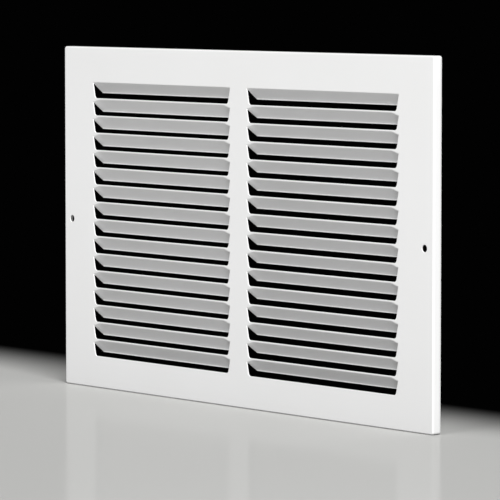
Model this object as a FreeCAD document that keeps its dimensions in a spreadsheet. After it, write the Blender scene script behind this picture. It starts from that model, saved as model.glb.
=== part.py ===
"""Return air vent cover: one pressed steel sheet with two banks of louvres.

The sheet stands upright. X runs to the right seen from the front, Z runs up, and
the painted face looks along -Y. The origin lies in the face plane, midway between
the two screw holes. Everything is in millimetres.
"""
import FreeCAD, Part
import math
import os
import Sketcher

# Driving sizes: name, millimetres (or degrees, or a count), and what it is.
SIZES = (
    ("overall_width", 400.05, "outside width of the cover"),
    ("overall_height", 247.65, "outside height of the cover"),
    ("flange_depth", 6.8, "face plane to the rear rim"),
    ("sheet_thickness", 0.7, "painted steel sheet"),
    ("edge_inner_radius", 0.35, "inside of the bend between face and flange"),
    ("corner_inner_radius", 1.3, "inside of the four corners, seen from the front"),
    ("row_count", 16, "louvres one above the other"),
    ("louvre_pitch", 12.5, "one cut to the next"),
    ("pattern_drop", 0.95, "middle of the slots, below the middle of the face"),
    ("side_margin", 34.075, "side edge to the slots"),
    ("mullion_width", 17.7, "plain strip between the two banks"),
    ("neck_height", 2.1, "flat strip above a slat, at its two ends"),
    ("flat_height", 0.6, "flat strip above a slat, along its middle"),
    ("neck_length", 8.0, "length over which the fold rises from neck to flat"),
    ("slot_end_slope", 12.5, "degrees by which a slot's ends lean inwards"),
    ("slot_corner_radius", 2.6, "lower corners of a slot"),
    ("slat_depth", 6.1, "face plane to the front of a slat's lower edge"),
    ("slat_gap_left", 2.9, "slat's lower edge to the next cut, left bank"),
    ("slat_gap_right", 3.6, "slat's lower edge to the next cut, right bank"),
    ("slat_gap_first", 3.85, "the same under the top slat of both banks"),
    ("slat_inner_radius", 0.3, "inside of a slat's fold"),
    ("slat_end_taper", 3.3, "by how much a slat narrows at each end"),
    ("hole_diameter", 4.8, "screw hole"),
    ("hole_inset", 8.8, "side edge to the middle of a screw hole"),
    ("hole_drop", 1.9, "middle of the screw holes, below the middle of the face"),
)
# Expressions that several features share.
HALF_WIDTH = "sizes.overall_width / 2"
TOP_EDGE = "(sizes.overall_height / 2 + sizes.hole_drop)"
BOTTOM_EDGE = "(sizes.overall_height / 2 - sizes.hole_drop)"
SLOTS_MIDDLE = "(sizes.hole_drop - sizes.pattern_drop)"
FOLD_RISE = "(sizes.neck_height - sizes.flat_height)"
TOP_FOLD = f"{SLOTS_MIDDLE} + (sizes.row_count * sizes.louvre_pitch - sizes.flat_height) / 2"
SECOND_FOLD = f"{TOP_FOLD} - {FOLD_RISE} - sizes.louvre_pitch"
TOP_HEIGHT = "(sizes.louvre_pitch - sizes.flat_height)"
SLOT_HEIGHT = "(sizes.louvre_pitch - sizes.neck_height)"
NEAR_END = "sizes.mullion_width / 2"
FAR_END = f"({HALF_WIDTH} - sizes.side_margin)"

# Where each bank starts and ends across the face, and the gap under its slats.
BANKS = (
    ("left", f"-{FAR_END}", f"-{NEAR_END}", "sizes.slat_gap_left"),
    ("right", NEAR_END, FAR_END, "sizes.slat_gap_right"),
)
ORIGIN = (-1, 1)
X_AXIS = -1
START, END, CENTRE = range(1, 4)


def number(expression):
    """Present value of an expression, for the first position of sketch geometry."""
    value = FreeCAD.ActiveDocument.getObject("sizes").evalExpression(expression)
    return float(getattr(value, "Value", value))


def make_sheet(doc):
    """Spreadsheet with one named cell for each driving size."""
    sheet = doc.addObject("Spreadsheet::Sheet", "sizes")
    for row, (name, value, note) in enumerate(SIZES, start=1):
        sheet.set(f"A{row}", name)
        sheet.set(f"B{row}", str(value))
        sheet.set(f"C{row}", note)
        sheet.setAlias(f"B{row}", name)
    doc.recompute()


def origin_feature(body, role):
    """One of the body's own origin planes or axes."""
    return next(item for item in body.Origin.OriginFeatures if item.Role == role)


def plane_sketch(body, name, role, offset=None, tilt=None):
    """Sketch on an origin plane, moved by expressions for its x, y, z and turned about its x."""
    sketch = body.newObject("Sketcher::SketchObject", name)
    sketch.AttachmentSupport = [(origin_feature(body, role), "")]
    sketch.MapMode = "FlatFace"
    if tilt is not None:
        start = FreeCAD.Rotation(FreeCAD.Vector(1, 0, 0), number(tilt))
        sketch.AttachmentOffset = FreeCAD.Placement(FreeCAD.Vector(), start)
        sketch.setExpression("AttachmentOffset.Rotation.Angle", tilt)
    for axis, expression in (offset or {}).items():
        sketch.setExpression(f"AttachmentOffset.Base.{axis}", expression)
    return sketch


def line(sketch, start, end):
    """Adds a line between two (x, y) points."""
    return sketch.addGeometry(Part.LineSegment(FreeCAD.Vector(*start, 0), FreeCAD.Vector(*end, 0)))


def arc(sketch, centre, radius, first, last):
    """Adds an arc that turns counterclockwise between two angles in degrees."""
    circle = Part.Circle(FreeCAD.Vector(*centre, 0), FreeCAD.Vector(0, 0, 1), radius)
    return sketch.addGeometry(Part.ArcOfCircle(circle, math.radians(first), math.radians(last)))


def join(sketch, *pairs):
    """Makes pairs of (geometry, point) coincident."""
    for first, second in pairs:
        sketch.addConstraint(Sketcher.Constraint("Coincident", *first, *second))


def bind(sketch, kind, name, where, expression):
    """Adds a named dimension and ties it to an expression, in millimetres or degrees."""
    value = number(expression)
    if kind == "Angle":
        value = math.radians(value)
        expression = f"({expression}) * 1 deg"
    index = sketch.addConstraint(Sketcher.Constraint(kind, *where, value))
    sketch.renameConstraint(index, name)
    sketch.setExpression(f"Constraints.{name}", expression)


def locate(sketch, name, point, across, up):
    """Places a point of the sketch from its origin."""
    bind(sketch, "DistanceX", f"{name}_across", (*ORIGIN, *point), across)
    bind(sketch, "DistanceY", f"{name}_up", (*ORIGIN, *point), up)


def rounded_rectangle(sketch, inset, radius):
    """The cover's outline, moved inwards by an inset, with tangent corner arcs."""
    half_width = f"{HALF_WIDTH} - {inset}"
    above, below = f"{TOP_EDGE} - {inset}", f"{BOTTOM_EDGE} - {inset}"
    w, high, low, r = number(half_width), number(above), -number(below), number(radius)
    top = line(sketch, (-w + r, high), (w - r, high))
    right = line(sketch, (w, high - r), (w, low + r))
    bottom = line(sketch, (w - r, low), (-w + r, low))
    left = line(sketch, (-w, low + r), (-w, high - r))
    corners = (
        (arc(sketch, (w - r, high - r), r, 0, 90), right, top),
        (arc(sketch, (w - r, low + r), r, 270, 360), bottom, right),
        (arc(sketch, (-w + r, low + r), r, 180, 270), left, bottom),
        (arc(sketch, (-w + r, high - r), r, 90, 180), top, left),
    )
    for corner, after, before in corners:
        sketch.addConstraint(Sketcher.Constraint("Tangent", corner, START, after, START))
        sketch.addConstraint(Sketcher.Constraint("Tangent", corner, END, before, END))
    for corner, after, before in corners[1:]:
        sketch.addConstraint(Sketcher.Constraint("Equal", corners[0][0], corner))
    for edge, kind in ((top, "Horizontal"), (right, "Vertical"), (bottom, "Horizontal"), (left, "Vertical")):
        sketch.addConstraint(Sketcher.Constraint(kind, edge))
    bind(sketch, "Radius", "corner", (corners[0][0],), radius)
    bind(sketch, "DistanceY", "top_edge", (*ORIGIN, top, START), above)
    bind(sketch, "DistanceY", "bottom_edge", (*ORIGIN, bottom, START), f"-({below})")
    bind(sketch, "DistanceX", "right_edge", (*ORIGIN, right, START), half_width)
    bind(sketch, "DistanceX", "left_edge", (*ORIGIN, left, START), f"-({half_width})")


def slot_outline(sketch, name, start, end, fold, height, rises):
    """Closed outline of one slot: fold line, sloping ends and a cut with round corners.

    The height runs from the ends of the fold line to the cut. The fold line is
    straight for the top slot. For the others it rises from the neck at each end to
    the narrower flat strip along the middle.
    """
    slope, radius = "sizes.slot_end_slope", "sizes.slot_corner_radius"
    left, right, top = number(start), number(end), number(fold)
    bottom = top - number(height)
    angle, r = number(slope), number(radius)
    lean = number(height) * math.tan(math.radians(angle))

    points = [(left, top), (right, top)]
    if rises:
        step, rise = number("sizes.neck_length"), number(FOLD_RISE)
        points[1:1] = [(left + step, top + rise), (right - step, top + rise)]
    folds = [line(sketch, first, last) for first, last in zip(points, points[1:])]
    right_end = line(sketch, points[-1], (right - lean, bottom + r))
    right_corner = arc(sketch, (right - lean - r, bottom + r), r, 270, 360 - angle)
    cut = line(sketch, (right - lean - r, bottom), (left + lean + r, bottom))
    left_corner = arc(sketch, (left + lean + r, bottom + r), r, 180 + angle, 270)
    left_end = line(sketch, (left + lean, bottom + r), points[0])

    chain = folds + [right_end]
    join(sketch, *(((a, END), (b, START)) for a, b in zip(chain, chain[1:])))
    join(sketch, ((left_end, END), (folds[0], START)))
    for first, first_point, second, second_point in (
        (right_end, END, right_corner, END),
        (right_corner, START, cut, START),
        (cut, END, left_corner, END),
        (left_corner, START, left_end, START),
    ):
        sketch.addConstraint(Sketcher.Constraint("Tangent", first, first_point, second, second_point))
    sketch.addConstraint(Sketcher.Constraint("Horizontal", cut))
    bind(sketch, "Radius", f"{name}_right_corner", (right_corner,), radius)
    bind(sketch, "Radius", f"{name}_left_corner", (left_corner,), radius)
    bind(sketch, "Angle", f"{name}_right_slope", (right_end,), f"-90 - {slope}")
    bind(sketch, "Angle", f"{name}_left_slope", (left_end,), f"90 + {slope}")
    bind(sketch, "DistanceY", f"{name}_cut", (*ORIGIN, cut, START), f"{fold} - {height}")
    locate(sketch, f"{name}_left_tip", (folds[0], START), start, fold)
    locate(sketch, f"{name}_right_tip", (folds[-1], END), end, fold)
    if rises:
        inner = f"{fold} + {FOLD_RISE}"
        locate(sketch, f"{name}_left_fold", (folds[0], END), f"{start} + sizes.neck_length", inner)
        locate(sketch, f"{name}_right_fold", (folds[1], END), f"{end} - sizes.neck_length", inner)


def slat_section(body, name, across, fold, drop, tilt=None):
    """Cross-section of a slat in an upright plane, with its fold line at the sketch's origin.

    The sheet bends back round two arcs with one centre and then runs straight down
    to its lower edge, which is square to the sheet.
    """
    sketch = plane_sketch(body, name, "YZ_Plane", {"y": fold, "z": across}, tilt)
    inner = number("sizes.slat_inner_radius")
    thickness = number("sizes.sheet_thickness")
    outer = inner + thickness
    depth, low = number("sizes.slat_depth"), number(drop)

    # The straight front line leaves the outer arc at this angle from upright.
    reach, away = math.hypot(depth - outer, low), math.atan2(depth - outer, low)
    lean = away + math.asin(outer / reach)
    back = (math.cos(lean), math.sin(lean))
    bend_front = (outer - outer * back[0], -outer * back[1])
    bend_back = (outer - inner * back[0], -inner * back[1])
    edge_front = (depth, -low)
    edge_back = (depth + thickness * back[0], -low + thickness * back[1])

    turn = 180 + math.degrees(lean)
    front_bend = arc(sketch, (outer, 0), outer, 180, turn)
    front = line(sketch, bend_front, edge_front)
    edge = line(sketch, edge_front, edge_back)
    rear = line(sketch, edge_back, bend_back)
    rear_bend = arc(sketch, (outer, 0), inner, 180, turn)
    top = line(sketch, (thickness, 0), (0, 0))

    join(
        sketch,
        ((front_bend, START), ORIGIN),
        ((rear_bend, CENTRE), (front_bend, CENTRE)),
        ((front, END), (edge, START)),
        ((edge, END), (rear, START)),
        ((rear_bend, START), (top, START)),
        ((top, END), (front_bend, START)),
    )
    for constraint in (
        ("PointOnObject", front_bend, CENTRE, X_AXIS),
        ("PointOnObject", rear_bend, START, X_AXIS),
        ("Tangent", front_bend, END, front, START),
        ("Tangent", rear_bend, END, rear, END),
        ("Parallel", front, rear),
        ("Perpendicular", edge, front),
    ):
        sketch.addConstraint(Sketcher.Constraint(*constraint))
    bind(sketch, "Radius", "inner_bend", (rear_bend,), "sizes.slat_inner_radius")
    bind(sketch, "Radius", "outer_bend", (front_bend,), "sizes.slat_inner_radius + sizes.sheet_thickness")
    locate(sketch, "lower_edge", (front, END), "sizes.slat_depth", f"-({drop})")
    return sketch


def feature(body, kind, name, **settings):
    """PartDesign feature with its plain settings, and expressions for those given as text."""
    item = body.newObject(f"PartDesign::{kind}", name)
    for key, value in settings.items():
        if isinstance(value, str) and value.startswith("="):
            item.setExpression(key, value[1:])
        else:
            setattr(item, key, value)
    return item


def slat(body, name, start, end, fold, height, gap, rises):
    """One slat, as a ruled loft between upright sections, with its two ends cut on a slant."""
    whole_drop = f"({height} - {gap})"
    lean = f"atan(sizes.slat_end_taper / {whole_drop})"
    slanted_drop = f"sqrt(sizes.slat_end_taper ^ 2 + {whole_drop} ^ 2)"
    sections = [slat_section(body, f"{name}_left_end", start, fold, slanted_drop, f"-{lean}")]
    if rises:
        inner_fold, inner_drop = f"{fold} + {FOLD_RISE}", f"{whole_drop} + {FOLD_RISE}"
        for side, across in (("left", f"{start} + sizes.neck_length"), ("right", f"{end} - sizes.neck_length")):
            sections.append(slat_section(body, f"{name}_{side}_middle", across, inner_fold, inner_drop))
    sections.append(slat_section(body, f"{name}_right_end", end, fold, slanted_drop, lean))
    return feature(body, "AdditiveLoft", name, Profile=sections[0], Sections=sections[1:], Ruled=True)


def face_at_depth(item, depth):
    """Name, in a list, of the flat face of a feature at a given depth behind the face plane."""
    for index, face in enumerate(item.Shape.Faces, start=1):
        box = face.BoundBox
        if abs(box.YMin - depth) < 1e-6 and abs(box.YMax - depth) < 1e-6:
            return [f"Face{index}"]
    raise ValueError(f"{item.Name} has no flat face at {depth}")


def make_tray(doc, body):
    """The plain cover: a face with a flange bent back along all four sides."""
    blank = plane_sketch(body, "blank_outline", "XZ_Plane")
    corner = "sizes.corner_inner_radius + sizes.sheet_thickness"
    rounded_rectangle(blank, "0", corner)
    pad = feature(body, "Pad", "blank", Profile=blank, Reversed=True, Length="=sizes.flange_depth")
    doc.recompute()
    bend = "=sizes.edge_inner_radius + sizes.sheet_thickness"
    feature(body, "Fillet", "outer_bend", Base=(pad, face_at_depth(pad, 0)), Radius=bend)
    doc.recompute()

    inside = plane_sketch(body, "inside_outline", "XZ_Plane", {"z": "-sizes.sheet_thickness"})
    rounded_rectangle(inside, "sizes.sheet_thickness", "sizes.corner_inner_radius")
    hollow = feature(body, "Pocket", "inside", Profile=inside, Type="ThroughAll")
    doc.recompute()
    floor = face_at_depth(hollow, number("sizes.sheet_thickness"))
    feature(body, "Fillet", "inner_bend", Base=(hollow, floor), Radius="=sizes.edge_inner_radius")


def make_holes(body):
    """One screw hole at the middle of each side margin."""
    sketch = plane_sketch(body, "screw_hole_outline", "XZ_Plane")
    for side, sign in (("left", "-"), ("right", "")):
        across = f"{sign}({HALF_WIDTH} - sizes.hole_inset)"
        radius = number("sizes.hole_diameter / 2")
        middle = FreeCAD.Vector(number(across), 0, 0)
        circle = sketch.addGeometry(Part.Circle(middle, FreeCAD.Vector(0, 0, 1), radius))
        sketch.addConstraint(Sketcher.Constraint("PointOnObject", circle, CENTRE, X_AXIS))
        bind(sketch, "DistanceX", f"{side}_hole", (*ORIGIN, circle, CENTRE), across)
        bind(sketch, "Diameter", f"{side}_diameter", (circle,), "sizes.hole_diameter")
    feature(body, "Pocket", "screw_holes", Profile=sketch, Type="ThroughAll")


def make_row(body, name, fold, height, rises, common_gap=None):
    """The two slots of one row, one in each bank, and the slat that hangs in each.

    The slats leave each bank's own gap below them, unless one common gap is given.
    """
    outline = plane_sketch(body, f"{name}_slot_outline", "XZ_Plane")
    for side, start, end, bank_gap in BANKS:
        slot_outline(outline, side, start, end, fold, height, rises)
    row = [feature(body, "Pocket", f"{name}_slots", Profile=outline, Type="ThroughAll")]
    for side, start, end, bank_gap in BANKS:
        gap = common_gap or bank_gap
        row.append(slat(body, f"{name}_slat_{side}", start, end, fold, height, gap, rises))
    return row


def make_cover(doc):
    """The whole cover as one body."""
    body = doc.addObject("PartDesign::Body", "louvred_cover")
    body.Label = "louvred_cover"
    make_tray(doc, body)
    make_holes(body)
    make_row(body, "top", TOP_FOLD, TOP_HEIGHT, False, "sizes.slat_gap_first")
    second = make_row(body, "second", SECOND_FOLD, SLOT_HEIGHT, True)
    doc.recompute()
    pattern = feature(
        body,
        "LinearPattern",
        "lower_rows",
        Originals=second,
        Direction=(origin_feature(body, "Z_Axis"), [""]),
        Reversed=True,
        Mode="Spacing",
        Offset="=sizes.louvre_pitch",
        Occurrences="=sizes.row_count - 1",
    )
    body.Tip = pattern
    doc.recompute()
    return body


def check(doc, bodies):
    """Stops if an object failed, or if a finished shape is missing or not valid."""
    for item in doc.Objects:
        if {"Invalid", "Error"} & set(item.State):
            raise RuntimeError(f"{item.Name} failed: {item.State}")
    for body in bodies:
        if body.Shape.isNull() or not body.Shape.isValid() or len(body.Shape.Solids) != 1:
            raise RuntimeError(f"{body.Label} is not one valid solid")


def main():
    """Builds the cover, checks it and writes it out."""
    doc = FreeCAD.newDocument("return_air_vent_cover")
    make_sheet(doc)
    bodies = [make_cover(doc)]
    check(doc, bodies)
    os.makedirs("parts", exist_ok=True)
    for body in bodies:
        body.Shape.exportStep(f"parts/{body.Label}.step")
        box = body.Shape.BoundBox
        print(f"{body.Label}: {box.XLength:.2f} x {box.YLength:.2f} x {box.ZLength:.2f} mm,"
              f" {body.Shape.Volume:.1f} mm3, {len(body.Shape.Faces)} faces")


main()
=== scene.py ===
"""Return air vent cover: the painted steel sheet as it looks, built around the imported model.

The cover is one pressed sheet, so it is one mesh. Its painted front surface is put
together from patches that share their border points: a plain face, a ring round each
slot and each screw hole, the slats and the folded rim. The welded surface is then
given its thickness and rounded, coated edges. Sizes are in millimetres up to the point
where a mesh is made.
"""
import logging
import math
from dataclasses import dataclass, field
from enum import Enum

import bpy
import numpy as np
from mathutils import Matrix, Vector


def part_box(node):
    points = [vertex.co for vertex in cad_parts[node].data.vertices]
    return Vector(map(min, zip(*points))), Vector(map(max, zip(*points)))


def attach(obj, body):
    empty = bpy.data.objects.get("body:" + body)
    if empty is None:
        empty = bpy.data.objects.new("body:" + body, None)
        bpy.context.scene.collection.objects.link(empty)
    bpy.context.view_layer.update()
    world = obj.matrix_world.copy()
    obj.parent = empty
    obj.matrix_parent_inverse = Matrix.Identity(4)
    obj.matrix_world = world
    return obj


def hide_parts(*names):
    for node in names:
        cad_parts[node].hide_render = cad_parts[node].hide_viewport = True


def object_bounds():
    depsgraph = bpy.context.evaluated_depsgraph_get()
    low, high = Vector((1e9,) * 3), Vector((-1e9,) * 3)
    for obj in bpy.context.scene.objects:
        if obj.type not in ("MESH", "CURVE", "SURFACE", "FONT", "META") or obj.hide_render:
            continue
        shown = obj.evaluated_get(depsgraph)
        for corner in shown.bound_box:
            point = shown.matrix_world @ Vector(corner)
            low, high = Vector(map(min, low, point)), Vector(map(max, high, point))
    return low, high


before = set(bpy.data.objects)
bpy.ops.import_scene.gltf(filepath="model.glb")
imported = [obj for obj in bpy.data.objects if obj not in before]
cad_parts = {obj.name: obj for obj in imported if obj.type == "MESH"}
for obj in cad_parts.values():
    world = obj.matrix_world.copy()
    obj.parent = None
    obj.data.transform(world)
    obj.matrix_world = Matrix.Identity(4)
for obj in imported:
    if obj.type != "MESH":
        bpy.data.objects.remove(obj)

MM = 0.001
# Grid lines are rounded to this many decimals of a millimetre, and a place nearer to
# another than this many millimetres is the same one.
LINE_DECIMALS = 6
NEAR = 1e-6
NODE = "louvred_cover"
BODY = "root"
CAD_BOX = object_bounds()
LOG = logging.getLogger("return_air_vent_cover")


class Bank(Enum):
    """The two banks of louvres, by the side of the face that they are on."""

    LEFT = -1
    RIGHT = 1


class Winding(Enum):
    """Which way the quads of a grid of points turn."""

    ROWS_FIRST = 0
    COLUMNS_FIRST = 1


@dataclass
class Patch:
    """A piece of surface as points and the quads between them.

    Attributes:
        points: Array of shape (points, 3), in millimetres.
        quads: Array of shape (quads, 4), indices into the points.
    """

    points: np.ndarray
    quads: np.ndarray


def grid_patch(
    points: np.ndarray, winding: Winding, closed: bool = False, keep: np.ndarray | None = None
) -> Patch:
    """Turns a grid of points into quads.

    Args:
        points: Array of shape (rows, columns, 3).
        winding: The direction that each quad takes first.
        closed: Whether the last column joins the first one.
        keep: Which cells have a quad, as an array of shape (rows - 1, columns - 1).

    Returns:
        The patch, whose quads face along the cross product of their first two edges.
    """
    rows, columns = points.shape[:2]
    index = np.arange(rows * columns).reshape(rows, columns)
    if closed:
        index = np.concatenate([index, index[:, :1]], axis=1)
    near, far = index[:-1], index[1:]
    corners = [near[:, :-1], far[:, :-1], far[:, 1:], near[:, 1:]]
    if winding is Winding.COLUMNS_FIRST:
        corners.reverse()
    quads = np.stack(corners, axis=-1)
    quads = quads[keep] if keep is not None else quads.reshape(-1, 4)
    return Patch(points.reshape(-1, 3), quads)


def on_face(across: np.ndarray, up: np.ndarray) -> np.ndarray:
    """Points of the face plane, whose depth is zero, from their X and Z."""
    across, up = np.broadcast_arrays(across, up)
    return np.stack([across, np.zeros_like(across), up], axis=-1)


def grid_lines(parts: list[np.ndarray]) -> np.ndarray:
    """Rising grid lines from several lists of them, each line only once."""
    return np.unique(np.round(np.concatenate(parts), LINE_DECIMALS))


def smooth_step(share: np.ndarray) -> np.ndarray:
    """Rises from 0 to 1 with level ends: three squares less two cubes of the share."""
    share = np.clip(share, 0.0, 1.0)
    return share * share * (3.0 - 2.0 * share)


def rectangle_loop(across: np.ndarray, up: np.ndarray) -> np.ndarray:
    """Border of a grid, clockwise seen from the front, starting at its upper left corner.

    Args:
        across: X of the grid's columns, rising.
        up: Z of the grid's rows, falling.

    Returns:
        Array of shape (points, 2) with X and Z.
    """
    top = np.stack([across[:-1], np.full(across.size - 1, up[0])], axis=-1)
    right = np.stack([np.full(up.size - 1, across[-1]), up[:-1]], axis=-1)
    bottom = np.stack([across[:0:-1], np.full(across.size - 1, up[-1])], axis=-1)
    left = np.stack([np.full(up.size - 1, across[0]), up[:0:-1]], axis=-1)
    return np.concatenate([top, right, bottom, left])


def ring_patch(inner: np.ndarray, outer: np.ndarray, shares: tuple[float, ...]) -> Patch:
    """Flat ring between two loops of the face plane with equally many points.

    Each point is the weighted mean of the two loops' points at the same place in the
    loop, and the weights are the shares.

    Args:
        inner: Loop round the hole, of shape (points, 2), clockwise from the front.
        outer: Loop at the ring's border, alike.
        shares: The outer loop's weights, rising from 0 to 1.

    Returns:
        The ring, facing the front.
    """
    weight = np.array(shares)[:, None, None]
    flat = inner * (1.0 - weight) + outer * weight
    return grid_patch(on_face(flat[..., 0], flat[..., 1]), Winding.COLUMNS_FIRST, closed=True)


@dataclass(frozen=True)
class Sheet:
    """The steel sheet and its coat.

    Attributes:
        thickness: Painted thickness.
        edge_swell: How far the coat rounds out past a cut edge.
        edge_rings: Rows of quads round a cut edge.
    """

    thickness: float = 0.7
    edge_swell: float = 0.16
    edge_rings: int = 6

    def thicken(self, patch: Patch) -> Patch:
        """Gives a surface its thickness, with rounded cut edges.

        The rear points lie one thickness behind the front ones along the surface
        normal. Round each cut edge a half ellipse joins the two: its depth is half the
        thickness, and its height is the edge swell.

        Args:
            patch: The welded front surface.

        Returns:
            The closed surface.
        """
        points, quads = patch.points, patch.quads
        normals = self.normals(patch)
        count = len(points)
        start, end = self.open_edges(quads)
        along = points[end] - points[start]
        along /= np.linalg.norm(along, axis=1, keepdims=True)
        outward = np.zeros_like(points)
        for tip in (start, end):
            np.add.at(outward, tip, np.cross(along, normals[tip]) / 2.0)
        rim, place = np.unique(np.concatenate([start, end]), return_inverse=True)
        first, second = np.split(place, 2)

        angle = (np.pi * np.arange(1, self.edge_rings) / self.edge_rings)[:, None, None]
        rings = points[rim] - normals[rim] * self.thickness / 2.0 * (1.0 - np.cos(angle))
        rings = rings + outward[rim] * self.edge_swell * np.sin(angle)
        table = np.concatenate([
            rim[None],
            2 * count + np.arange(rings.shape[0] * rim.size).reshape(rings.shape[0], rim.size),
            rim[None] + count,
        ])
        near, far = table[:-1], table[1:]
        edge_quads = np.stack(
            [near[:, second], near[:, first], far[:, first], far[:, second]], axis=-1
        )
        return Patch(
            np.concatenate([points, points - normals * self.thickness, rings.reshape(-1, 3)]),
            np.concatenate([quads, quads[:, ::-1] + count, edge_quads.reshape(-1, 4)]),
        )

    @staticmethod
    def normals(patch: Patch) -> np.ndarray:
        """Unit normals at the points: the quads' normals weighted by their areas.

        Args:
            patch: The surface.

        Returns:
            Array of shape (points, 3).
        """
        a, b, c, d = (patch.points[patch.quads[:, corner]] for corner in range(4))
        area = np.cross(c - a, d - b)
        total = np.zeros_like(patch.points)
        for corner in range(4):
            np.add.at(total, patch.quads[:, corner], area)
        return total / np.linalg.norm(total, axis=1, keepdims=True)

    @staticmethod
    def open_edges(quads: np.ndarray) -> tuple[np.ndarray, np.ndarray]:
        """Finds the quad edges that no second quad shares.

        Args:
            quads: Array of shape (quads, 4), indices into the points.

        Returns:
            The start points and the end points of those edges, the way the quads turn.
        """
        start = quads.ravel()
        end = np.roll(quads, -1, axis=1).ravel()
        span = quads.max() + 1
        alone = ~np.isin(start * span + end, end * span + start)
        return start[alone], end[alone]


@dataclass(frozen=True)
class LouvreSizes:
    """Sizes that the slots and the slats share.

    Attributes:
        rows: Louvres one above the other.
        pitch: From one cut to the next.
        bank_length: Length of a slot along its fold.
        mullion: Plain strip between the banks.
        middle: Height of the middle of the slots above the screw holes.
        neck: Plain strip above a slat at its ends.
        flat: Plain strip above a slat along its middle.
        neck_length: Length over which the fold rises from neck to flat.
        end_columns: Distances from a slot's end of the points along its curved fold.
        middle_columns: Points along the straight fold between the two ends.
        end_slope: Degrees by which a slot's ends lean inwards.
        corner_radius: Lower corners of a slot.
        depth: Face plane to the front of a slat's lower edge.
        gaps: Clear height under a slat, by bank.
        first_gap: The same under the top slat.
        fold_radius: Front of a slat's fold, along its middle.
        end_fold_radius: The same at its two ends, where the sheet is drawn rather than folded.
        taper: By how much a slat narrows at each end.
        tip_radius: Lower corners of a slat.
        lip: Width of the curled lip at a slat's lower edge.
        lip_curl: How far the lip's edge curls forward.
    """

    rows: int = 16
    pitch: float = 12.5
    bank_length: float = 157.1
    mullion: float = 17.7
    middle: float = 0.95
    neck: float = 2.1
    flat: float = 0.6
    neck_length: float = 8.0
    end_columns: tuple[float, ...] = (0.0, 0.5, 1.0, 1.6, 2.3, 3.1, 4.0, 5.0, 6.2, 8.0)
    middle_columns: int = 10
    end_slope: float = 12.5
    corner_radius: float = 2.6
    depth: float = 6.1
    gaps: dict[Bank, float] = field(
        default_factory=lambda: {Bank.LEFT: 2.9, Bank.RIGHT: 3.6}
    )
    first_gap: float = 3.85
    fold_radius: float = 1.0
    end_fold_radius: float = 1.5
    taper: float = 3.3
    tip_radius: float = 1.6
    lip: float = 0.6
    lip_curl: float = 0.34

    def upper_level(self, row: int) -> float:
        """Height of a row's fold along its middle."""
        return self.middle + (self.rows * self.pitch - self.flat) / 2.0 - row * self.pitch

    def cut_level(self, row: int) -> float:
        """Height of the cut that ends a row's slot."""
        return self.upper_level(row) + self.flat - self.pitch

    def columns(self) -> np.ndarray:
        """Distances from a slot's left end of the points along its fold.

        They are close together over the curved ends and far apart along the middle.

        Returns:
            Array of rising distances, the same for every slot.
        """
        end = np.array(self.end_columns)
        middle = np.linspace(end[-1], self.bank_length - end[-1], self.middle_columns + 2)
        return np.concatenate([end, middle[1:-1], self.bank_length - end[::-1]])

    def inward(self) -> np.ndarray:
        """How far in from the neck each column lies: 0 at the ends, rising smoothly to 1."""
        columns = self.columns()
        return smooth_step(np.minimum(columns, self.bank_length - columns) / self.neck_length)

    def fold_line(self, row: int) -> np.ndarray:
        """Height of a row's fold at its columns.

        A fold rises from the neck to the flat strip as the columns go inwards. The top
        fold has no cut above it and runs straight at the upper level.
        """
        outward = 1.0 - self.inward() if row else np.zeros(self.columns().size)
        return self.upper_level(row) - (self.neck - self.flat) * outward

    def fold_radii(self) -> np.ndarray:
        """Fold radius at the columns, from the end value to the middle value."""
        return self.end_fold_radius + (self.fold_radius - self.end_fold_radius) * self.inward()

    def left_end(self, bank: Bank) -> float:
        """X of the left end of a bank."""
        half = self.mullion / 2.0
        return half if bank is Bank.RIGHT else -half - self.bank_length


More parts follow.
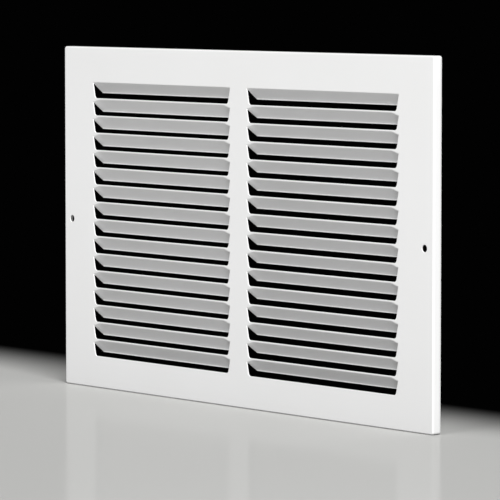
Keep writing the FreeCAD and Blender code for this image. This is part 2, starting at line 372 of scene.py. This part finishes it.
@dataclass(frozen=True)
class SlotRing:
    """The flat sheet round one slot, out to a rectangle that the plain face continues.

    Attributes:
        sizes: The louvre sizes.
        sheet: The sheet, for the swell of its cut edges.
        margin: Sheet beyond the slot's ends, and above the top and below the last slot.
        end_points: Points along a slot's straight end.
        corner_points: Points along half of a rounded corner.
        shares: Places of the ring's loops, from the slot to the rectangle.
    """

    sizes: LouvreSizes
    sheet: Sheet
    margin: float = 4.0
    end_points: int = 5
    corner_points: int = 4
    shares: tuple[float, ...] = (0.0, 0.1, 1.0)

    def across(self, bank: Bank) -> np.ndarray:
        """X of the rectangle's points along its top and bottom.

        Args:
            bank: The bank.

        Returns:
            One value for each column of the fold, rising.
        """
        columns = self.sizes.left_end(bank) + self.sizes.columns()
        columns[0] -= self.margin
        columns[-1] += self.margin
        return columns

    def up(self, row: int) -> np.ndarray:
        """Z of the rectangle's points along its sides.

        The border between two rows runs along the middle of the flat strip.

        Args:
            row: The row, counted from 0 at the top.

        Returns:
            One value for each point of a slot's end, falling.
        """
        half_strip = self.sizes.flat / 2.0
        if row == 0:
            top = self.sizes.fold_line(row).max() + self.margin
        else:
            top = self.sizes.cut_level(row - 1) - half_strip
        below = self.margin if row == self.sizes.rows - 1 else half_strip
        bottom = self.sizes.cut_level(row) - below
        return np.linspace(top, bottom, self.end_points + self.corner_points)

    def outline(self, row: int) -> np.ndarray:
        """The slot's outline from its left end, clockwise: fold, right end, cut, left end.

        An end runs straight from the fold at the end slope. A corner is an arc that is
        tangent to the end and to the cut. The cut lies one edge swell low, so that the
        coated edge is where the cut is.

        Args:
            row: The row, counted from 0 at the top.

        Returns:
            Array of shape (points, 2), X from the slot's left end and Z.
        """
        sizes = self.sizes
        columns, fold = sizes.columns(), sizes.fold_line(row)
        slope, radius = math.radians(sizes.end_slope), sizes.corner_radius
        cut = sizes.cut_level(row) - self.sheet.edge_swell
        height = fold[0] - cut
        centre_up = cut + radius
        centre_in = (height - radius) * math.tan(slope) + radius / math.cos(slope)
        middle = (slope + math.pi / 2.0) / 2.0

        turn = np.linspace(slope, middle, self.corner_points)
        arc_in = centre_in - radius * np.cos(turn)
        arc_up = centre_up - radius * np.sin(turn)
        straight = np.linspace(0.0, 1.0, self.end_points + 1)[:-1]
        end_in = np.concatenate([straight * arc_in[0], arc_in])
        end_up = np.concatenate([fold[0] + straight * (arc_up[0] - fold[0]), arc_up])

        rest = np.linspace(middle, math.pi / 2.0, self.corner_points)
        base_in = centre_in - radius * np.cos(rest)
        base_up = centre_up - radius * np.sin(rest)
        inner = columns[self.corner_points:-self.corner_points]
        first, last = columns[self.corner_points - 1], columns[-self.corner_points]
        share = (inner - first) / (last - first)
        cut_in = base_in[-1] + share * (sizes.bank_length - 2.0 * base_in[-1])
        low_in = np.concatenate([base_in, cut_in, sizes.bank_length - base_in[::-1]])
        low_up = np.concatenate([base_up, np.full(inner.size, cut), base_up[::-1]])

        top = np.stack([columns[:-1], fold[:-1]], axis=-1)
        right = np.stack([sizes.bank_length - end_in[:-1], end_up[:-1]], axis=-1)
        bottom = np.stack([low_in[:0:-1], low_up[:0:-1]], axis=-1)
        left = np.stack([end_in[:0:-1], end_up[:0:-1]], axis=-1)
        return np.concatenate([top, right, bottom, left])

    def patch(self, bank: Bank, row: int) -> Patch:
        """The ring of one slot."""
        inner = self.outline(row) + (self.sizes.left_end(bank), 0.0)
        return ring_patch(inner, rectangle_loop(self.across(bank), self.up(row)), self.shares)


@dataclass(frozen=True)
class Slat:
    """A louvre slat: the sheet folded back below its fold line.

    Attributes:
        sizes: The louvre sizes.
        sheet: The sheet, for the swell of its cut edges.
        fold_steps: Steps round the fold.
        blade_steps: Steps down the straight blade.
        lip_shares: Places down the lip, as shares of its width.
    """

    sizes: LouvreSizes
    sheet: Sheet
    fold_steps: int = 7
    blade_steps: int = 3
    lip_shares: tuple[float, ...] = (0.3, 0.55, 0.75, 0.9, 1.0)

    def patch(self, bank: Bank, row: int) -> Patch:
        """The front surface of one slat.

        Each column is an upright profile: an arc of the fold radius that starts level
        with the face, then a straight blade at the lean that reaches the slat's depth
        at its lower edge. The lip curls forward by a parabola of the distance from
        where it starts. The columns close up downwards because the ends taper, and the
        lower corners are quarter ellipses of the tip radius.

        Args:
            bank: The bank.
            row: The row, counted from 0 at the top.

        Returns:
            The slat, whose first row of points is the fold line.
        """
        sizes = self.sizes
        radius = sizes.fold_radii()
        fold = sizes.fold_line(row)
        gap = sizes.gaps[bank] if row else sizes.first_gap
        drop = fold - (sizes.cut_level(row) + gap)
        deep = sizes.depth - radius
        reach = np.hypot(deep, drop)
        lean = np.arctan2(deep, drop) + np.arcsin(radius / reach)
        blade = np.sqrt(reach ** 2 - radius ** 2) - self.sheet.edge_swell

        turn = np.linspace(0.0, 1.0, self.fold_steps + 1)[:, None] * lean
        down_blade = np.linspace(0.0, 1.0, self.blade_steps + 1)[1:, None] * (blade - sizes.lip)
        down_lip = blade - sizes.lip + np.array(self.lip_shares)[:, None] * sizes.lip
        along = np.concatenate([np.zeros_like(turn), down_blade, down_lip])
        leaning = np.broadcast_to(lean, (self.blade_steps + len(self.lip_shares), lean.size))
        turn = np.concatenate([turn, leaning])
        into_lip = np.clip(along - (blade - sizes.lip), 0.0, None) / sizes.lip
        curl = sizes.lip_curl * into_lip ** 2
        back = radius * (1.0 - np.cos(turn)) + along * np.sin(turn) - curl * np.cos(turn)
        up = fold - radius * np.sin(turn) - along * np.cos(turn) - curl * np.sin(turn)

        travel = radius * turn + along
        length = travel[-1]
        from_edge = np.clip((length - travel) / sizes.tip_radius, 0.0, 1.0)
        corner = sizes.tip_radius * (1.0 - np.sqrt(1.0 - (1.0 - from_edge) ** 2))
        inset = sizes.taper * (travel / length) + corner
        columns = sizes.columns()
        squeeze = (sizes.bank_length - 2.0 * inset) / sizes.bank_length
        across = sizes.left_end(bank) + inset + columns * squeeze
        return grid_patch(np.stack([across, back, up], axis=-1), Winding.ROWS_FIRST)


@dataclass(frozen=True)
class PlainFace:
    """The flat face between the slots, and the folded rim round it.

    Attributes:
        rings: The slot rings that the face leaves room for.
        sheet: The sheet.
        low: Lowest corner of the cover's box, as X, Y and Z.
        high: Highest corner of the box.
        bend_radius: Front of the bend between face and flange.
        corner_radius: Corners of the cover seen from the front.
        bend_steps: Steps round the bend.
        flange_steps: Steps down the flange.
        corner_steps: Steps of half a corner.
        hole_diameter: Screw hole.
        hole_inset: Side edge to the middle of a screw hole.
        hole_room: Half the width of the rectangle left for a hole's ring.
        hole_columns: Grid lines across that rectangle.
        hole_shares: Places of the hole ring's loops, from the hole outwards.
    """

    rings: SlotRing
    sheet: Sheet
    low: np.ndarray
    high: np.ndarray
    bend_radius: float = 1.05
    corner_radius: float = 2.0
    bend_steps: int = 8
    flange_steps: int = 3
    corner_steps: int = 4
    hole_diameter: float = 4.8
    hole_inset: float = 8.8
    hole_room: float = 5.5
    hole_columns: int = 5
    hole_shares: tuple[float, ...] = (0.0, 0.06, 1.0)

    def hole_middles(self) -> tuple[float, float]:
        """X of the two screw holes, which lie at the height of the origin."""
        return self.low[0] + self.hole_inset, self.high[0] - self.hole_inset

    def edge_lines(self) -> np.ndarray:
        """Distances from the face's edge of the grid lines that a corner's arc needs."""
        flat_radius = self.corner_radius - self.bend_radius
        return np.linspace(0.0, flat_radius, self.corner_steps + 1)

    def across(self) -> np.ndarray:
        """X of the face's grid lines, for its edges, the holes' rectangles and the rings.

        Returns:
            Array of rising values.
        """
        room = np.linspace(-self.hole_room, self.hole_room, self.hole_columns)
        edge = self.edge_lines()
        parts = [self.low[0] + self.bend_radius + edge, self.high[0] - self.bend_radius - edge]
        parts += [middle + room for middle in self.hole_middles()]
        parts += [self.rings.across(bank) for bank in Bank]
        return grid_lines(parts)

    def up(self) -> np.ndarray:
        """Z of the face's grid lines, for its edges and the rings.

        Returns:
            Array of falling values.
        """
        edge = self.edge_lines()
        parts = [self.low[2] + self.bend_radius + edge, self.high[2] - self.bend_radius - edge]
        parts += [self.rings.up(row) for row in range(self.rings.sizes.rows)]
        return grid_lines(parts)[::-1]

    def border(self) -> tuple[np.ndarray, np.ndarray]:
        """The face's rounded border and its outward normals, clockwise from the upper left.

        A border point of the grid that lies within the corner radius of a corner moves
        to the arc. Its angle from the side's own normal falls from an eighth of a turn
        at the corner to nothing where the arc ends.

        Returns:
            Two arrays of shape (points, 2), with X and Z.
        """
        across, up = self.across(), self.up()
        radius = self.corner_radius - self.bend_radius
        loop = rectangle_loop(across, up)
        middle = np.array([across[0] + across[-1], up[0] + up[-1]]) / 2.0
        half = np.array([across[-1] - across[0], up[0] - up[-1]]) / 2.0
        local = loop - middle
        sign = np.where(local < 0.0, -1.0, 1.0)
        short = half - np.abs(local)
        on_side = short < NEAR
        beside = short[:, ::-1]
        eighth = math.pi / 4.0
        share = np.clip(1.0 - beside / radius, 0.0, 1.0)
        lean = np.where(on_side, eighth * share, np.inf).min(axis=1)
        upright_side = on_side[:, 0] & ~on_side[:, 1]
        corner = on_side.all(axis=1)
        lean[corner] = eighth
        sideways = np.stack([np.cos(lean), np.sin(lean)], axis=-1)
        normal = sign * np.where(upright_side[:, None], sideways, sideways[:, ::-1])
        bent = lean > 0.0
        rounded = loop.copy()
        centre = middle + sign * (half - radius)
        rounded[bent] = centre[bent] + radius * normal[bent]
        return rounded, normal

    def room(self, middle: float) -> tuple[np.ndarray, np.ndarray]:
        """Grid lines of the rectangle left for one hole.

        It reaches to the nearest borders between rows that lie more than a hole
        diameter above and below the middle of the hole.

        Args:
            middle: X of the middle of the hole.

        Returns:
            X of its columns, rising, and Z of its rows, falling.
        """
        across, up = self.across(), self.up()
        columns = across[np.abs(across - middle) < self.hole_room + NEAR]
        sizes = self.rings.sizes
        borders = np.array([self.rings.up(row)[0] for row in range(sizes.rows)])
        clear = self.hole_diameter
        top = borders[borders > clear].min()
        bottom = borders[borders < -clear].max()
        rows = up[(up < top + NEAR) & (up > bottom - NEAR)]
        return columns, rows

    def plain_patch(self) -> Patch:
        """The grid of the face, without the rectangles of the slots and the holes.

        Returns:
            The patch, whose outermost points lie on the face's rounded border.
        """
        across, up = self.across(), self.up()
        points = on_face(across[None, :], up[:, None])
        border, _ = self.border()
        wide, tall = across.size - 1, up.size - 1
        top, right, bottom, left = np.split(border, np.cumsum([wide, tall, wide]))
        points[0, :-1, ::2] = top
        points[:-1, -1, ::2] = right
        points[-1, :0:-1, ::2] = bottom
        points[:0:-1, 0, ::2] = left

        middle_x = (across[:-1] + across[1:])[None, :] / 2.0
        middle_z = (up[:-1] + up[1:])[:, None] / 2.0
        keep = np.ones((tall, wide), bool)
        taken = [
            (self.rings.across(bank), self.rings.up(row))
            for bank in Bank
            for row in range(self.rings.sizes.rows)
        ]
        taken += [self.room(middle) for middle in self.hole_middles()]
        for columns, rows in taken:
            inside_x = (middle_x > columns[0]) & (middle_x < columns[-1])
            inside_z = (middle_z < rows[0]) & (middle_z > rows[-1])
            keep &= ~(inside_x & inside_z)
        return grid_patch(points, Winding.ROWS_FIRST, keep=keep)

    def hole_patch(self, middle: float) -> Patch:
        """The ring of one screw hole: from a circle to the rectangle left for it.

        The circle's points are evenly spaced, and the loop starts at the rectangle's
        upper left corner, so that the rectangle's top is centred over the circle.

        Args:
            middle: X of the middle of the hole.

        Returns:
            The ring, facing the front.
        """
        columns, rows = self.room(middle)
        outer = rectangle_loop(columns, rows)
        step = 2.0 * math.pi / len(outer)
        angle = math.pi / 2.0 + step * ((columns.size - 1) / 2.0 - np.arange(len(outer)))
        radius = self.hole_diameter / 2.0 + self.sheet.edge_swell
        inner = np.stack([middle + radius * np.cos(angle), radius * np.sin(angle)], axis=-1)
        return ring_patch(inner, outer, self.hole_shares)

    def rim_patch(self) -> Patch:
        """The bend and the flange, carried round the face's border.

        The profile turns a quarter circle outwards and back, then runs straight to the
        rear, one edge swell short of the cover's depth.

        Returns:
            The rim, whose first row of points is the face's border.
        """
        border, normal = self.border()
        turn = np.linspace(0.0, math.pi / 2.0, self.bend_steps + 1)
        rear = self.high[1] - self.sheet.edge_swell
        straight = np.linspace(self.bend_radius, rear, self.flange_steps + 1)[1:]
        out = self.bend_radius * np.concatenate([np.sin(turn), np.ones(straight.size)])
        back = np.concatenate([self.bend_radius * (1.0 - np.cos(turn)), straight])
        place = border[None] + normal[None] * out[:, None, None]
        depth = np.broadcast_to(back[:, None], place.shape[:2])
        points = np.stack([place[..., 0], depth, place[..., 1]], axis=-1)
        return grid_patch(points, Winding.COLUMNS_FIRST, closed=True)


def linear(code: str) -> tuple[float, float, float, float]:
    """An sRGB hex colour as linear red, green, blue and alpha, by the standard curve."""
    values = [int(code[place:place + 2], 16) / 255.0 for place in (1, 3, 5)]
    return (*(v / 12.92 if v <= 0.04045 else ((v + 0.055) / 1.055) ** 2.4 for v in values), 1.0)


def add_node(
    tree: bpy.types.NodeTree, kind: str, inputs: dict | None = None, **settings: object
) -> bpy.types.Node:
    """Adds a node with its settings, socket values and links.

    Args:
        tree: The node tree.
        kind: The node's Blender type.
        inputs: For each input, by name or number, a value or an output socket to link.
        settings: The node's own properties.

    Returns:
        The node.
    """
    node = tree.nodes.new(kind)
    for name, value in settings.items():
        setattr(node, name, value)
    for name, value in (inputs or {}).items():
        if isinstance(value, bpy.types.NodeSocket):
            tree.links.new(value, node.inputs[name])
        else:
            node.inputs[name].default_value = value
    return node


def empty_material(name: str) -> bpy.types.Material:
    """A material with an empty node tree.

    Args:
        name: The material's name.

    Returns:
        The material.
    """
    material = bpy.data.materials.new(name)
    material.use_nodes = True
    material.node_tree.nodes.clear()
    return material


@dataclass(frozen=True)
class PowderCoat:
    """Satin white polyester powder coat, sprayed on steel and baked.

    It levels into a soft, even white with a faint orange peel, and is glossy enough to
    draw a thin light along bends and edges.

    Attributes:
        colour: The coat where it is full.
        thin_colour: The coat where it is a little thinner.
        roughness: Least and most, between the tops and the hollows of the peel.
        peel: Size of the peel's hollows, in millimetres.
        peel_height: Height of the peel, in millimetres.
        drift: Size of the slow changes of thickness, in millimetres.
        detail: Finer layers of the peel and the drift.
        ior: Index of refraction of cured polyester.
    """

    colour: str = "#F3F3F3"
    thin_colour: str = "#EFEFEE"
    roughness: tuple[float, float] = (0.36, 0.46)
    peel: float = 2.4
    peel_height: float = 0.010
    drift: float = 70.0
    detail: float = 2.0
    ior: float = 1.5

    def material(self) -> bpy.types.Material:
        """Builds the material on object coordinates.

        Returns:
            The material.
        """
        material = empty_material("white_powder_coated_steel")
        tree = material.node_tree
        place = add_node(tree, "ShaderNodeTexCoord").outputs["Object"]
        # The slowly changing thickness keeps the white from looking printed.
        drift = add_node(
            tree,
            "ShaderNodeTexNoise",
            {"Vector": place, "Scale": 1.0 / (self.drift * MM), "Detail": self.detail},
        )
        colour = add_node(tree, "ShaderNodeValToRGB", {"Fac": drift.outputs["Fac"]})
        colour.color_ramp.elements[0].color = linear(self.thin_colour)
        colour.color_ramp.elements[1].color = linear(self.colour)
        # The orange peel breaks up the gloss: its tops shine more than its hollows.
        peel = add_node(
            tree,
            "ShaderNodeTexNoise",
            {"Vector": place, "Scale": 1.0 / (self.peel * MM), "Detail": self.detail},
        )
        smooth, dull = self.roughness
        rough = add_node(
            tree,
            "ShaderNodeMapRange",
            {"Value": peel.outputs["Fac"], "To Min": dull, "To Max": smooth},
        )
        bump = add_node(
            tree,
            "ShaderNodeBump",
            {"Height": peel.outputs["Fac"], "Strength": 1.0, "Distance": self.peel_height * MM},
        )
        shader = add_node(
            tree,
            "ShaderNodeBsdfPrincipled",
            {
                "Base Color": colour.outputs["Color"],
                "Roughness": rough.outputs["Result"],
                "Normal": bump.outputs["Normal"],
                "IOR": self.ior,
            },
        )
        add_node(tree, "ShaderNodeOutputMaterial", {"Surface": shader.outputs["BSDF"]})
        return material


@dataclass
class Cover:
    """The whole cover: one pressed and folded sheet.

    Attributes:
        finish: The coat.
        sheet: The sheet.
        sizes: The louvre sizes.
        weld: Points nearer than this are one point, in millimetres.
    """

    finish: PowderCoat = field(default_factory=PowderCoat)
    sheet: Sheet = field(default_factory=Sheet)
    sizes: LouvreSizes = field(default_factory=LouvreSizes)
    weld: float = 1e-4

    def patches(self) -> list[Patch]:
        """Makes every patch of the painted front surface.

        Returns:
            The plain face, the rim, the rings and the slats.
        """
        low, high = (np.array(corner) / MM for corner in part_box(NODE))
        rings = SlotRing(self.sizes, self.sheet)
        slat = Slat(self.sizes, self.sheet)
        face = PlainFace(rings, self.sheet, low, high)
        parts = [face.plain_patch(), face.rim_patch()]
        parts += [face.hole_patch(middle) for middle in face.hole_middles()]
        for bank in Bank:
            for row in range(self.sizes.rows):
                parts += [rings.patch(bank, row), slat.patch(bank, row)]
        return parts

    def front(self) -> Patch:
        """Welds the patches into one surface.

        Points in the same cell of a grid as fine as the weld become one.

        Returns:
            The surface, with only the points that its quads use.
        """
        parts = self.patches()
        starts = np.cumsum([0] + [len(part.points) for part in parts[:-1]])
        points = np.concatenate([part.points for part in parts])
        quads = np.concatenate([part.quads + start for part, start in zip(parts, starts)])
        cells = np.round(points / self.weld)
        _, first, place = np.unique(cells, axis=0, return_index=True, return_inverse=True)
        quads = place.ravel()[quads]
        used, renumbered = np.unique(quads, return_inverse=True)
        return Patch(points[first][used], renumbered.reshape(quads.shape))

    def build(self) -> bpy.types.Object:
        """Makes the mesh, dresses it and puts it in the place of its node.

        Returns:
            The cover's object.
        """
        solid = self.sheet.thicken(self.front())
        mesh = bpy.data.meshes.new("pressed_cover")
        mesh.from_pydata((solid.points * MM).tolist(), [], solid.quads.tolist())
        mesh.polygons.foreach_set("use_smooth", np.ones(len(mesh.polygons), bool))
        mesh.materials.append(self.finish.material())
        mesh.update()
        piece = bpy.data.objects.new("pressed_cover", mesh)
        bpy.context.scene.collection.objects.link(piece)
        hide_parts(NODE)
        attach(piece, BODY)
        return piece


@dataclass(frozen=True)
class SoftBox:
    """A square soft light that faces the cover.

    Attributes:
        name: Name of the light.
        azimuth: Degrees by which it stands to the right of the face's normal.
        elevation: Degrees by which it stands above it.
        distance: Light to cover, in metres.
        size: Side of the square, in metres.
        power: Watts.
    """

    name: str
    azimuth: float
    elevation: float
    distance: float
    size: float
    power: float

    def build(self) -> None:
        """Adds the light to the scene."""
        data = bpy.data.lights.new(self.name, "AREA")
        data.shape = "SQUARE"
        data.size = self.size
        data.energy = self.power
        light = bpy.data.objects.new(self.name, data)
        away = direction(self.azimuth, self.elevation)
        light.location = away * self.distance
        light.rotation_euler = (-away).to_track_quat("-Z", "Y").to_euler()
        bpy.context.scene.collection.objects.link(light)


def direction(azimuth: float, elevation: float) -> Vector:
    """Unit vector from the cover towards a place round it.

    Its level part is as long as the cosine of the elevation.

    Args:
        azimuth: Degrees to the right of the face's normal.
        elevation: Degrees above it.

    Returns:
        The vector.
    """
    turn, rise = math.radians(azimuth), math.radians(elevation)
    flat = math.cos(rise)
    return Vector((math.sin(turn) * flat, -math.cos(turn) * flat, math.sin(rise)))


@dataclass(frozen=True)
class Studio:
    """Floor, light, backdrop and camera.

    Attributes:
        aim: Point of the face plane that the camera looks at, in millimetres.
        azimuth: Degrees by which the camera stands to the right of the face's normal.
        elevation: Degrees by which the camera stands above it.
        distance: Camera to the aim, in millimetres.
        lens: Focal length, in millimetres.
        sensor: Width of the camera's sensor, in millimetres.
        soft_boxes: The lights.
        ambient: Strength of the light from all round.
        backdrop: Colour of the backdrop.
        floor_reach: Half the width of the square floor, in metres.
        floor: Colour of the floor.
        floor_bounce: Colour of the floor for the light that it sends back from far in front.
        floor_gloss: Share of a mirror image on the floor.
        floor_roughness: Roughness of that image.
        fade: Distances behind the face where the floor starts and ends fading, in millimetres.
        bounce_reach: Distance in front of the face over which the sent back light grows out of
            a painted contact shadow.
        bounce_power: Power of the distance's share with which it grows.
    """

    aim: tuple[float, float, float] = (12.76, 0.0, -11.3)
    azimuth: float = 50.40
    elevation: float = 4.32
    distance: float = 2550.4
    lens: float = 266.3
    sensor: float = 36.0
    soft_boxes: tuple[SoftBox, ...] = (
        SoftBox("key", 62.0, 30.0, 11.0, 5.5, 1615.0),
        SoftBox("front_fill", 5.0, 30.0, 8.0, 4.0, 178.0),
        SoftBox("back_fill", 200.0, 8.0, 8.0, 4.0, 120.0),
    )
    ambient: float = 0.18
    backdrop: str = "#020202"
    floor_reach: float = 6.0
    floor: str = "#C4C4C2"
    floor_bounce: str = "#A0A0A0"
    floor_gloss: float = 0.12
    floor_roughness: float = 0.12
    fade: tuple[float, float] = (10.0, 130.0)
    bounce_reach: float = 360.0
    bounce_power: float = 0.5

    def camera(self) -> None:
        """Places the camera at the photograph's viewing angle."""
        data = bpy.data.cameras.new("camera")
        data.lens = self.lens
        data.sensor_width = self.sensor
        camera = bpy.data.objects.new("camera", data)
        away = direction(self.azimuth, self.elevation)
        camera.location = Vector(self.aim) * MM + away * self.distance * MM
        camera.rotation_euler = (-away).to_track_quat("-Z", "Y").to_euler()
        bpy.context.scene.collection.objects.link(camera)
        bpy.context.scene.camera = camera

    def seen_directly(self, tree: bpy.types.NodeTree) -> bpy.types.NodeSocket:
        """Tells the rays that show a surface from those that only carry its light.

        Args:
            tree: The node tree.

        Returns:
            Output that is 1 for camera, glossy and transmission rays, and 0 for the rest.
        """
        path = add_node(tree, "ShaderNodeLightPath").outputs
        seen = path["Is Camera Ray"]
        for ray in ("Is Glossy Ray", "Is Transmission Ray"):
            seen = add_node(
                tree, "ShaderNodeMath", {0: seen, 1: path[ray]}, operation="MAXIMUM"
            ).outputs[0]
        return seen

    def world(self) -> None:
        """Even light from all round, with a plain dark backdrop where it is looked at."""
        world = bpy.data.worlds.new("studio")
        world.use_nodes = True
        tree = world.node_tree
        tree.nodes.clear()
        light = add_node(
            tree,
            "ShaderNodeBackground",
            {"Color": linear("#FFFFFF"), "Strength": self.ambient},
        )
        seen = add_node(
            tree, "ShaderNodeBackground", {"Color": linear(self.backdrop), "Strength": 1.0}
        )
        choice = add_node(
            tree,
            "ShaderNodeMixShader",
            {0: self.seen_directly(tree), 1: light.outputs[0], 2: seen.outputs[0]},
        )
        add_node(tree, "ShaderNodeOutputWorld", {"Surface": choice.outputs[0]})
        bpy.context.scene.world = world

    def floor_material(self) -> bpy.types.Material:
        """Pale satin board that fades to the backdrop behind the cover.

        Its paint is even where it is looked at, and satin enough to show a faint, soft
        image of the cover. The light that it sends back carries a painted contact shadow:
        it is black at the face and grows with a power of the distance to the face, as a
        share of the bounce reach, so that the foot of the cover gets painted shade.

        Returns:
            The material.
        """
        material = empty_material("pale_satin_board")
        tree = material.node_tree
        place = add_node(tree, "ShaderNodeTexCoord").outputs["Object"]
        depth = add_node(tree, "ShaderNodeSeparateXYZ", {0: place}).outputs["Y"]
        fade = add_node(
            tree,
            "ShaderNodeMapRange",
            {"Value": depth, "From Min": self.fade[0] * MM, "From Max": self.fade[1] * MM},
            interpolation_type="SMOOTHSTEP",
        ).outputs["Result"]
        ahead = add_node(
            tree,
            "ShaderNodeMapRange",
            {"Value": depth, "From Min": 0.0, "From Max": -self.bounce_reach * MM},
        ).outputs["Result"]
        growth = add_node(
            tree, "ShaderNodeMath", {0: ahead, 1: self.bounce_power}, operation="POWER"
        ).outputs[0]
        pale = add_node(tree, "ShaderNodeBsdfDiffuse", {"Color": linear(self.floor)})
        image = add_node(tree, "ShaderNodeBsdfGlossy", {"Roughness": self.floor_roughness})
        satin = add_node(
            tree,
            "ShaderNodeMixShader",
            {0: self.floor_gloss, 1: pale.outputs[0], 2: image.outputs[0]},
        )
        bounce = add_node(tree, "ShaderNodeBsdfDiffuse", {"Color": linear(self.floor_bounce)})
        # Painted contact shadow: the light that the floor sends back starts black at the face
        # and grows to the bounce colour further in front, which darkens the foot of the cover.
        dark = add_node(tree, "ShaderNodeBsdfDiffuse", {"Color": linear("#000000")})
        bounce_with_painted_shadow = add_node(
            tree, "ShaderNodeMixShader", {0: growth, 1: dark.outputs[0], 2: bounce.outputs[0]}
        )
        either = add_node(
            tree,
            "ShaderNodeMixShader",
            {0: self.seen_directly(tree), 1: bounce_with_painted_shadow.outputs[0], 2: satin.outputs[0]},
        )
        far = add_node(
            tree, "ShaderNodeEmission", {"Color": linear(self.backdrop), "Strength": 1.0}
        )
        faded = add_node(
            tree, "ShaderNodeMixShader", {0: fade, 1: either.outputs[0], 2: far.outputs[0]}
        )
        add_node(tree, "ShaderNodeOutputMaterial", {"Surface": faded.outputs[0]})
        return material

    def ground(self) -> None:
        """A wide flat floor under the cover."""
        reach = self.floor_reach
        level = CAD_BOX[0][2]
        mesh = bpy.data.meshes.new("floor")
        square = ((-reach, -reach), (reach, -reach), (reach, reach), (-reach, reach))
        mesh.from_pydata([(x, y, level) for x, y in square], [], [(0, 1, 2, 3)])
        mesh.materials.append(self.floor_material())
        floor = bpy.data.objects.new("floor", mesh)
        bpy.context.scene.collection.objects.link(floor)

    def build(self) -> None:
        """Sets up the whole studio."""
        bpy.context.scene.view_settings.view_transform = "Standard"
        self.world()
        self.ground()
        for box in self.soft_boxes:
            box.build()
        self.camera()


def main() -> None:
    """Builds the cover and the studio."""
    logging.basicConfig(level=logging.INFO, format="%(name)s: %(message)s")
    cover = Cover().build()
    LOG.info("%s: %d faces", cover.name, len(cover.data.polygons))
    Studio().build()


if __name__ == "__main__":
    main()
